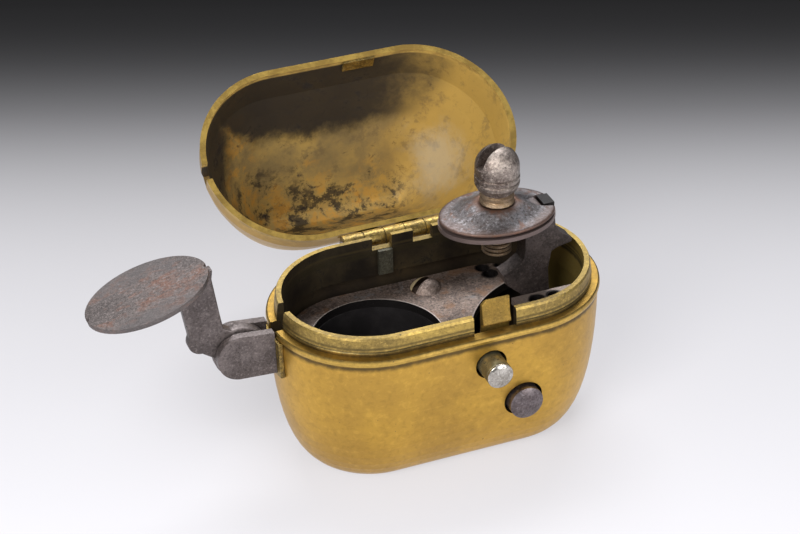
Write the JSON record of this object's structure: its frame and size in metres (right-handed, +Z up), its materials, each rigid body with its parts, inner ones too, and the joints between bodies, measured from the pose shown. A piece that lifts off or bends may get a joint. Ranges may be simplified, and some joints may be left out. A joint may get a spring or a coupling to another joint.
{
  "type": "tinder box",
  "caption": "Hinged oval metal pocket case with a flintlock inside: domed lid, folding striking lever, cock with screw jaws, tinder pot, latch and trigger buttons",
  "frame": {"origin": "centre of the flat bottom the box stands on", "axes": "+X along the case towards the cock, +Y towards the lid's hinge, +Z up; the buttons are on the -Y side and the lever on the -X end"},
  "size_m": [0.0915, 0.0753, 0.0537],
  "materials": {
    "brass_case": "aged brass, worn and speckled",
    "brass_lid": "aged brass, stained dark inside",
    "brass_rim": "dull brass",
    "brass_tab": "bright rubbed brass",
    "iron_pin": "dark iron",
    "steel_dark": "blackened steel",
    "steel_plate": "brown pitted steel",
    "steel_worn": "worn steel",
    "steel_lever": "dark pitted steel",
    "steel_pad": "dark steel with rust streaks",
    "steel_cock": "dark brown steel",
    "steel_jaw": "smooth grey steel with a rusty edge",
    "steel_screw": "turned steel, worn",
    "silver": "planished silvery metal",
    "steel_button": "dark domed steel"
  },
  "bodies": {
    "case": {"case_body": "brass_case", "seam_bead": "brass_case", "rim_collar": "brass_rim", "body_knuckles": "brass_rim", "hinge_pin": "iron_pin", "lid_spring": "steel_dark", "lock_plate": "steel_plate", "plate_screw": "steel_worn", "plate_pillar": "brass_rim", "plate_ledge": "brass_rim", "tinder_pot": "steel_dark", "front_deck": "steel_plate", "deck_rivets": "steel_worn", "bracket_flange": "brass_rim", "front_cheek": "steel_lever", "rear_cheek": "steel_lever", "lever_pin": "iron_pin", "lock_frame": "steel_dark", "mainspring": "steel_dark", "sear_post": "iron_pin"},
    "lid": {"lid_shell": "brass_lid", "lid_knuckles": "brass_lid", "lid_catch": "brass_rim"},
    "lever": {"striking_lever": "steel_lever", "striking_pad": "steel_pad"},
    "cock": {"cock": "steel_cock", "tumbler": "steel_dark", "cock_axle": "iron_pin"},
    "upper_jaw": {"top_jaw": "steel_jaw"},
    "jaw_screw": {"jaw_screw": "steel_screw"},
    "latch": {"latch_leaf": "brass_tab", "latch_button": "silver"},
    "trigger": {"trigger_button": "steel_button"},
    "sear": {"sear": "steel_worn"}
  },
  "joints": [
    {"name": "lid_hinge", "type": "hinge", "parent": "case", "child": "lid", "pos_m": [0, 0.0192, 0.0285], "axis": [-1, 0, 0], "range_deg": [-146, 0]},
    {"name": "lever_fold", "type": "hinge", "parent": "case", "child": "lever", "pos_m": [-0.0357, 0, 0.0247], "axis": [0, 1, 0], "range_deg": [0, 105]},
    {"name": "cock_swing", "type": "hinge", "parent": "case", "child": "cock", "pos_m": [0.019, 0, 0.0085], "axis": [0, 1, 0], "range_deg": [-26, 0]},
    {"name": "upper_jaw_lift", "type": "slide", "parent": "cock", "child": "upper_jaw", "axis": [0, 0, 1], "range_m": [0, 0.0028]},
    {"name": "jaw_screw_turn", "type": "hinge", "parent": "upper_jaw", "child": "jaw_screw", "pos_m": [0.0118, 0, 0.043], "axis": [0, 0, 1], "range_deg": [0, 1260]},
    {"name": "latch_press", "type": "slide", "parent": "case", "child": "latch", "axis": [0, 1, 0], "range_m": [0, 0.0014], "stiffness_N_per_m": 300, "springref_m": -0.0005},
    {"name": "trigger_press", "type": "slide", "parent": "case", "child": "trigger", "axis": [0, 1, 0], "range_m": [0, 0.0014], "stiffness_N_per_m": 300, "springref_m": -0.0005},
    {"name": "sear_rock", "type": "hinge", "parent": "case", "child": "sear", "pos_m": [0.0155, -0.0085, 0.0127], "axis": [0, 0, 1], "range_deg": [-13.9, 0]}
  ],
  "couplings": [
    {"joint": "jaw_screw_turn", "follows": "upper_jaw_lift", "rad_per_m": 7853.9},
    {"joint": "sear_rock", "follows": "trigger_press", "rad_per_m": -172}
  ]
}
